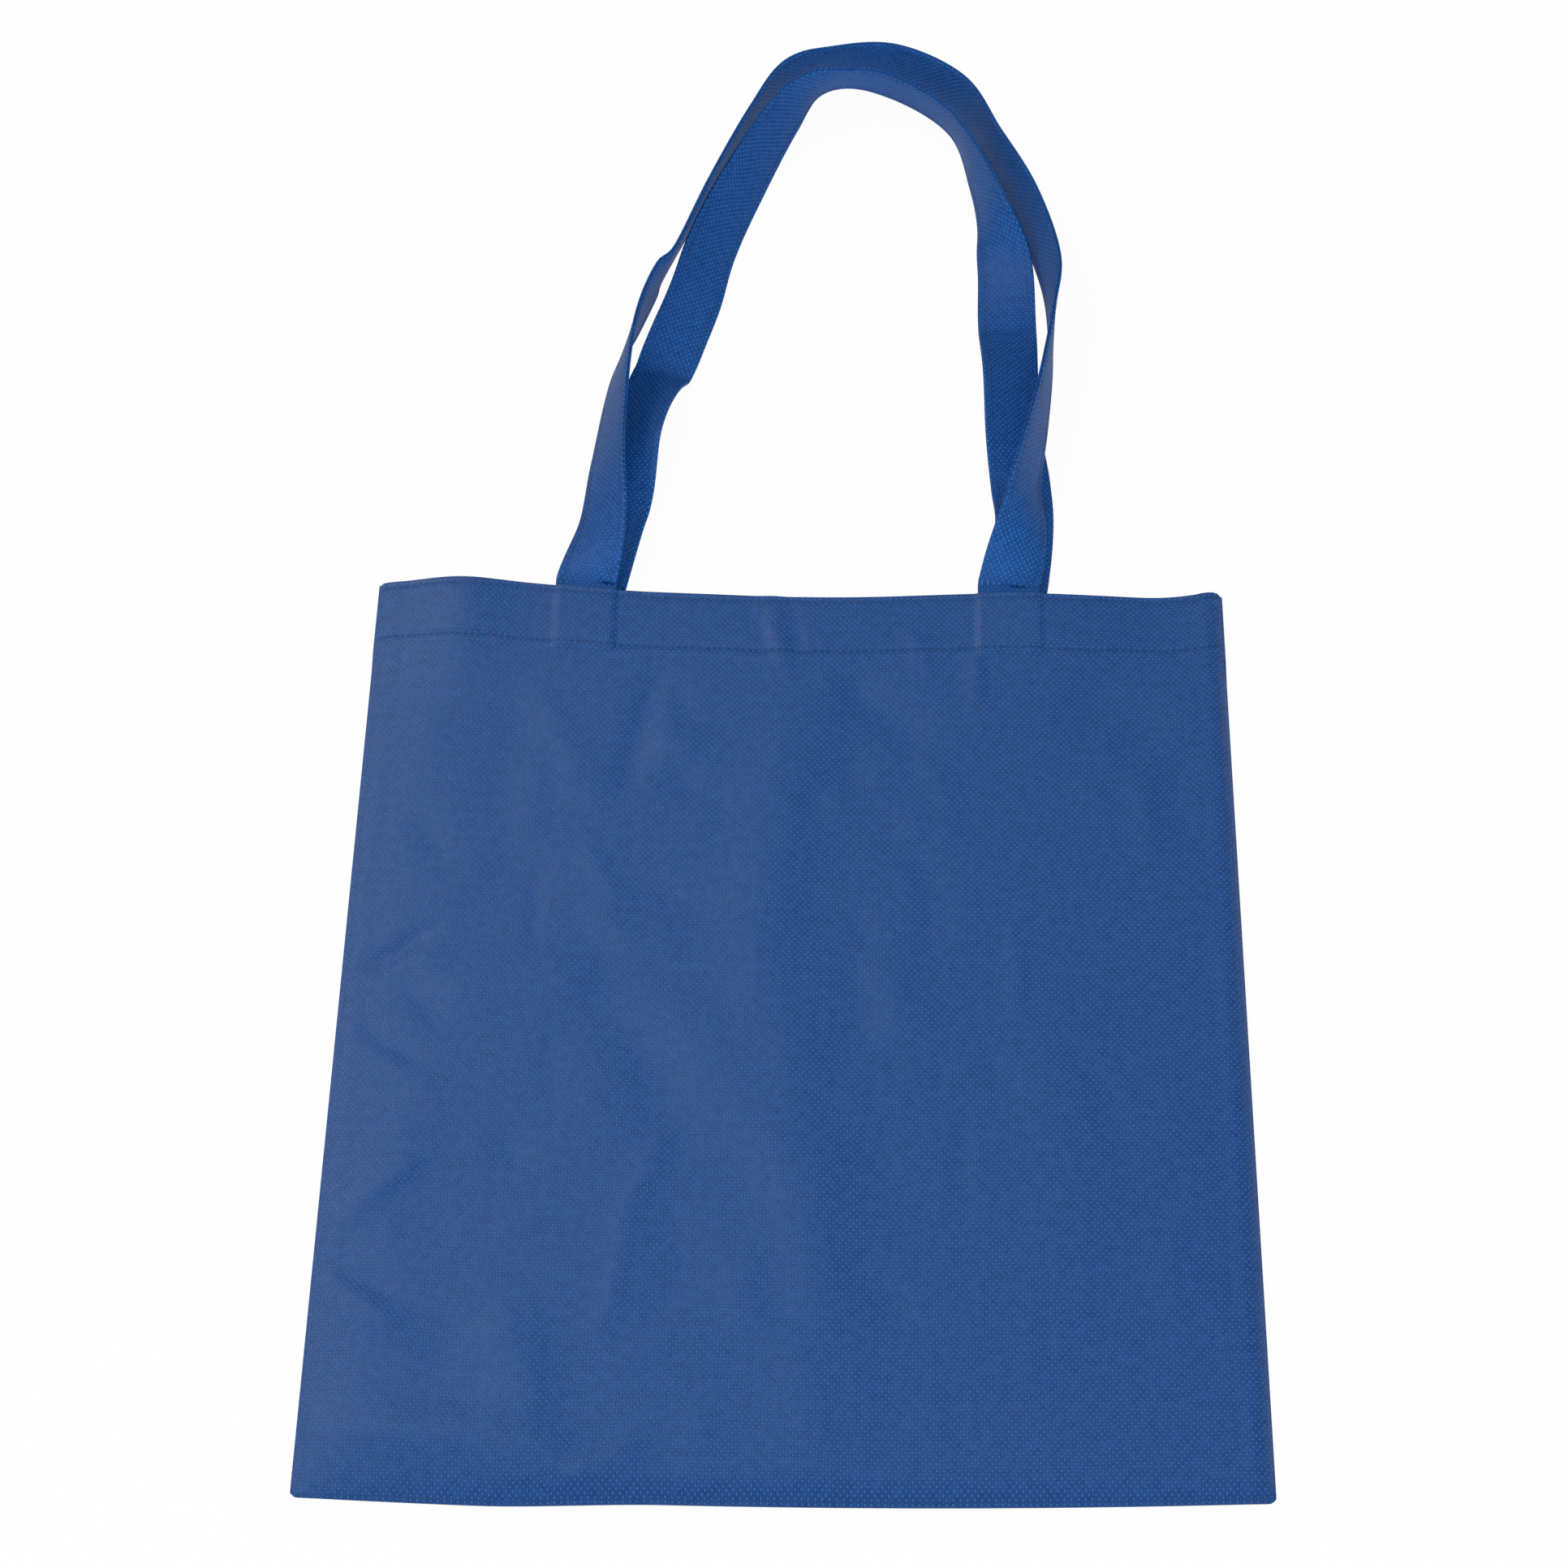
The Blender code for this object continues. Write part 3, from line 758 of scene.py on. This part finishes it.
def ramp_node(tree, value, low, high, to_low, to_high):
    node = tree.nodes.new("ShaderNodeMapRange")
    node.interpolation_type = "SMOOTHSTEP"
    for name, number in (("From Min", low), ("From Max", high), ("To Min", to_low), ("To Max", to_high)):
        node.inputs[name].default_value = number
    tree.links.new(value, node.inputs["Value"])
    return node.outputs["Result"]


POINT_ACROSS, POINT_ALONG = 2.65, 2.9  # spacing of the pressed points, in mm
POINT_INSIDE, POINT_OUTSIDE = 0.28, 0.72  # where a point's side starts and ends, in mm from its middle
POINT_WANDER = 0.0016  # how far the rows of points stray, in metres
FIBRE_HEIGHT = 0.45  # height of the fine threads against the depth of a point
FIBRE_SHARE = 0.6  # how much of the mottling comes from the fine threads


def make_point_group():
    group = bpy.data.node_groups.new("pressed_points", "ShaderNodeTree")
    group.interface.new_socket("Cloth", in_out="INPUT", socket_type="NodeSocketVector")
    group.interface.new_socket("Pit", in_out="OUTPUT", socket_type="NodeSocketFloat")
    group.interface.new_socket("Height", in_out="OUTPUT", socket_type="NodeSocketFloat")
    group.interface.new_socket("Mottle", in_out="OUTPUT", socket_type="NodeSocketFloat")
    start = group.nodes.new("NodeGroupInput")
    end = group.nodes.new("NodeGroupOutput")
    cloth = start.outputs["Cloth"]
    wander = group.nodes.new("ShaderNodeTexNoise")
    wander.inputs["Scale"].default_value = 45.0
    wander.inputs["Detail"].default_value = 1.0
    group.links.new(cloth, wander.inputs["Vector"])
    shift = vector_node(group, "SUBTRACT", wander.outputs["Color"], (0.5, 0.5, 0.5))
    shift = vector_node(group, "MULTIPLY", shift, (POINT_WANDER, POINT_WANDER, 0.0))
    moved = vector_node(group, "ADD", cloth, shift)
    cells = vector_node(group, "MULTIPLY", moved, (1000 / POINT_ACROSS, 1000 / POINT_ALONG, 0.0))
    distances = []
    for offset in (0.0, 0.5):
        place = vector_node(group, "ADD", cells, (offset, offset, 0.5))
        place = vector_node(group, "FRACTION", place)
        place = vector_node(group, "SUBTRACT", place, (0.5, 0.5, 0.5))
        place = vector_node(group, "MULTIPLY", place, (POINT_ACROSS, POINT_ALONG, 0.0))
        distances.append(vector_node(group, "LENGTH", place))
    distance = math_node(group, "MINIMUM", *distances)
    pit = ramp_node(group, distance, POINT_INSIDE, POINT_OUTSIDE, 1.0, 0.0)
    fibres = group.nodes.new("ShaderNodeTexNoise")
    fibres.inputs["Scale"].default_value = 1500.0
    fibres.inputs["Detail"].default_value = 3.0
    fibres.inputs["Roughness"].default_value = 0.6
    group.links.new(cloth, fibres.inputs["Vector"])
    clouds = group.nodes.new("ShaderNodeTexNoise")
    clouds.inputs["Scale"].default_value = 260.0
    clouds.inputs["Detail"].default_value = 3.0
    group.links.new(cloth, clouds.inputs["Vector"])
    fuzz = math_node(group, "MULTIPLY", fibres.outputs["Fac"], FIBRE_HEIGHT)
    height = math_node(group, "SUBTRACT", fuzz, pit)
    fine = math_node(group, "MULTIPLY", fibres.outputs["Fac"], FIBRE_SHARE)
    broad = math_node(group, "MULTIPLY", clouds.outputs["Fac"], 1 - FIBRE_SHARE)
    mottle = math_node(group, "ADD", fine, broad)
    group.links.new(pit, end.inputs["Pit"])
    group.links.new(height, end.inputs["Height"])
    group.links.new(mottle, end.inputs["Mottle"])
    return group


point_group = make_point_group()
print("node group:", point_group.name)


# %% Cloth material
CLOTH_LIGHT = (0.007, 0.070, 0.268, 1.0)
CLOTH_DARK = (0.002, 0.042, 0.182, 1.0)
# a lighter blue painted on the pressed points: a painted highlight
POINT_HIGHLIGHT_BLUE = (0.028, 0.115, 0.345, 1.0)


def cloth_material(name, bump, shine):
    """The blue cloth, with the depth of its pressed points, a painted highlight on them, and its shine."""
    made = bpy.data.materials.new(name)
    made.use_nodes = True
    tree = made.node_tree
    surface = tree.nodes["Principled BSDF"]
    surface.inputs["Roughness"].default_value = 0.48
    surface.inputs["Specular IOR Level"].default_value = shine
    uv = tree.nodes.new("ShaderNodeUVMap")
    uv.uv_map = "cloth"
    points = tree.nodes.new("ShaderNodeGroup")
    points.node_tree = point_group
    tree.links.new(uv.outputs["UV"], points.inputs["Cloth"])
    shade = ramp_node(tree, points.outputs["Mottle"], 0.38, 0.62, 0.0, 1.0)
    base = tree.nodes.new("ShaderNodeMix")
    base.data_type = "RGBA"
    base.inputs["A"].default_value = CLOTH_DARK
    base.inputs["B"].default_value = CLOTH_LIGHT
    tree.links.new(shade, base.inputs["Factor"])
    # the pressed points are painted lighter than the cloth: a painted highlight
    point_highlight = tree.nodes.new("ShaderNodeMix")
    point_highlight.data_type = "RGBA"
    point_highlight.inputs["B"].default_value = POINT_HIGHLIGHT_BLUE
    tree.links.new(points.outputs["Pit"], point_highlight.inputs["Factor"])
    tree.links.new(base.outputs["Result"], point_highlight.inputs["A"])
    tree.links.new(point_highlight.outputs["Result"], surface.inputs["Base Color"])
    relief = tree.nodes.new("ShaderNodeBump")
    relief.inputs["Strength"].default_value = 1.0
    relief.inputs["Distance"].default_value = bump
    tree.links.new(points.outputs["Height"], relief.inputs["Height"])
    tree.links.new(relief.outputs["Normal"], surface.inputs["Normal"])
    return made


bag_finish = cloth_material("bag_cloth_finish", 0.36 * MM, 0.33)
handle_finish = cloth_material("handle_cloth_finish", 0.34 * MM, 0.14)
print("cloth materials:", bag_finish.name, "and", handle_finish.name)

# %% Thread material
# The thread is painted darker than the cloth: painted shade for the shadow in the holes it sinks into.
SHADED_THREAD_DARK = (0.004, 0.028, 0.115, 1.0)
SHADED_THREAD_LIGHT = (0.010, 0.048, 0.170, 1.0)
thread_finish = bpy.data.materials.new("thread_finish")
thread_finish.use_nodes = True
thread_surface = thread_finish.node_tree.nodes["Principled BSDF"]
thread_surface.inputs["Roughness"].default_value = 0.5
twist = thread_finish.node_tree.nodes.new("ShaderNodeTexNoise")
twist.inputs["Scale"].default_value = 3000.0
shaded_thread_tone = thread_finish.node_tree.nodes.new("ShaderNodeMix")
shaded_thread_tone.data_type = "RGBA"
shaded_thread_tone.inputs["A"].default_value = SHADED_THREAD_DARK
shaded_thread_tone.inputs["B"].default_value = SHADED_THREAD_LIGHT
place = thread_finish.node_tree.nodes.new("ShaderNodeTexCoord")
thread_finish.node_tree.links.new(place.outputs["Object"], twist.inputs["Vector"])
thread_finish.node_tree.links.new(twist.outputs["Fac"], shaded_thread_tone.inputs["Factor"])
thread_finish.node_tree.links.new(shaded_thread_tone.outputs["Result"], thread_surface.inputs["Base Color"])

for finish, pieces in (
    (bag_finish, [bag_cloth]),
    (handle_finish, [front_handle, rear_handle]),
    (thread_finish, [body_thread, front_thread, rear_thread]),
):
    for piece in pieces:
        piece.data.materials.clear()
        piece.data.materials.append(finish)
    print(finish.name, "on", ", ".join(piece.name for piece in pieces))

# %% [markdown]
#
# Every piece rides on the model's one body. The cloth pieces stand for the plain solids of the frame.

# %% Pieces and what they replace
for piece in (bag_cloth, front_handle, rear_handle, body_thread, front_thread, rear_thread):
    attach(piece, "root")
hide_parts("bag_body")
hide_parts("front_handle")
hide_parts("rear_handle")

# %% [markdown]
# ## Table and light
#
# The table is white where the camera sees it, and keeps a trace of the bag's shadow. A large soft lamp
# stands at the back on the left, with a twin that shows only as sheen on the cloth. A soft lamp in front
# and an even pale world fill the shadows, and three low lamps light nothing but the handles.

# %% Table
TABLE_GLOW = 0.95  # how much of the table's own white the camera sees
MIRRORED_SHARE = 0.4  # how much of that white shows in the cloth's sheen
table_mesh = bpy.data.meshes.new("table")
bm = bmesh.new()
bmesh.ops.create_grid(bm, x_segments=1, y_segments=1, size=6)
bm.to_mesh(table_mesh)
bm.free()
table = bpy.data.objects.new("table", table_mesh)
table.location.z = -0.05 * MM
bpy.context.scene.collection.objects.link(table)

table_finish = bpy.data.materials.new("table_finish")
table_finish.use_nodes = True
tree = table_finish.node_tree
paint = tree.nodes["Principled BSDF"]
paint.inputs["Base Color"].default_value = (0.86, 0.86, 0.86, 1.0)
paint.inputs["Roughness"].default_value = 0.9
paint.inputs["Specular IOR Level"].default_value = 0.1
glow = tree.nodes.new("ShaderNodeEmission")
glow.inputs["Strength"].default_value = 1.0
light_path = tree.nodes.new("ShaderNodeLightPath")
mirrored = math_node(tree, "MAXIMUM", light_path.outputs["Is Glossy Ray"], light_path.outputs["Is Transmission Ray"])
mirrored = math_node(tree, "MULTIPLY", mirrored, MIRRORED_SHARE)
seen = math_node(tree, "MAXIMUM", light_path.outputs["Is Camera Ray"], mirrored)
seen = math_node(tree, "MULTIPLY", seen, TABLE_GLOW)
shown = tree.nodes.new("ShaderNodeMixShader")
tree.links.new(seen, shown.inputs["Fac"])
tree.links.new(paint.outputs["BSDF"], shown.inputs[1])
tree.links.new(glow.outputs["Emission"], shown.inputs[2])
tree.links.new(shown.outputs["Shader"], tree.nodes["Material Output"].inputs["Surface"])
table_mesh.materials.append(table_finish)
print("table:", table.dimensions.x, "m wide")

# %% Lamps and world
BAG_MIDDLE = Vector((0.0, 0.05, 0.0))
WHITE = (1.0, 1.0, 1.0)
WINDOW_PLACE = (-2.0, 1.40, 2.90)
WINDOW_COLOUR = (1.0, 0.98, 0.96)


def area_lamp(name, place, size, power, colour, shadow=True):
    """A square lamp that faces the bag: place and size in metres, power in watts."""
    data = bpy.data.lights.new(name, "AREA")
    data.shape = "SQUARE"
    data.size = size
    data.energy = power
    data.color = colour
    data.use_shadow = shadow
    lamp = bpy.data.objects.new(name, data)
    lamp.location = place
    lamp.rotation_euler = (BAG_MIDDLE - Vector(place)).to_track_quat("-Z", "Y").to_euler()
    bpy.context.scene.collection.objects.link(lamp)
    return lamp


area_lamp("window_side", WINDOW_PLACE, 1.4, 36, WINDOW_COLOUR)
window_sheen = area_lamp("window_sheen", WINDOW_PLACE, 1.4, 55, WINDOW_COLOUR)
window_sheen.visible_diffuse = False
front_fill = area_lamp("front_fill", (0.1, -0.8, 1.8), 1.4, 21, WHITE, shadow=False)
front_fill.visible_glossy = False
handle_group = bpy.data.collections.new("lit_by_handle_fills")
for piece in (front_handle, rear_handle, front_thread, rear_thread):
    handle_group.objects.link(piece)
HANDLE_FILLS = [
    ("left_fill", (-0.9, -1.5, 0.3), 3),
    ("middle_fill", (0.0, -1.5, 0.3), 19),
    ("right_fill", (0.9, -1.5, 0.3), 9),
]
for name, place, power in HANDLE_FILLS:
    handle_fill = area_lamp(name, place, 1.2, power, WHITE, shadow=False)
    handle_fill.visible_glossy = False
    handle_fill.light_linking.receiver_collection = handle_group

world = bpy.data.worlds.new("world")
world.use_nodes = True
sky = world.node_tree.nodes["Background"]
sky.inputs["Color"].default_value = (*WHITE, 1.0)
sky.inputs["Strength"].default_value = 0.42
bpy.context.scene.world = world
bpy.context.scene.view_settings.view_transform = "Standard"
print("lamps:", ", ".join(lamp.name for lamp in bpy.data.lights))
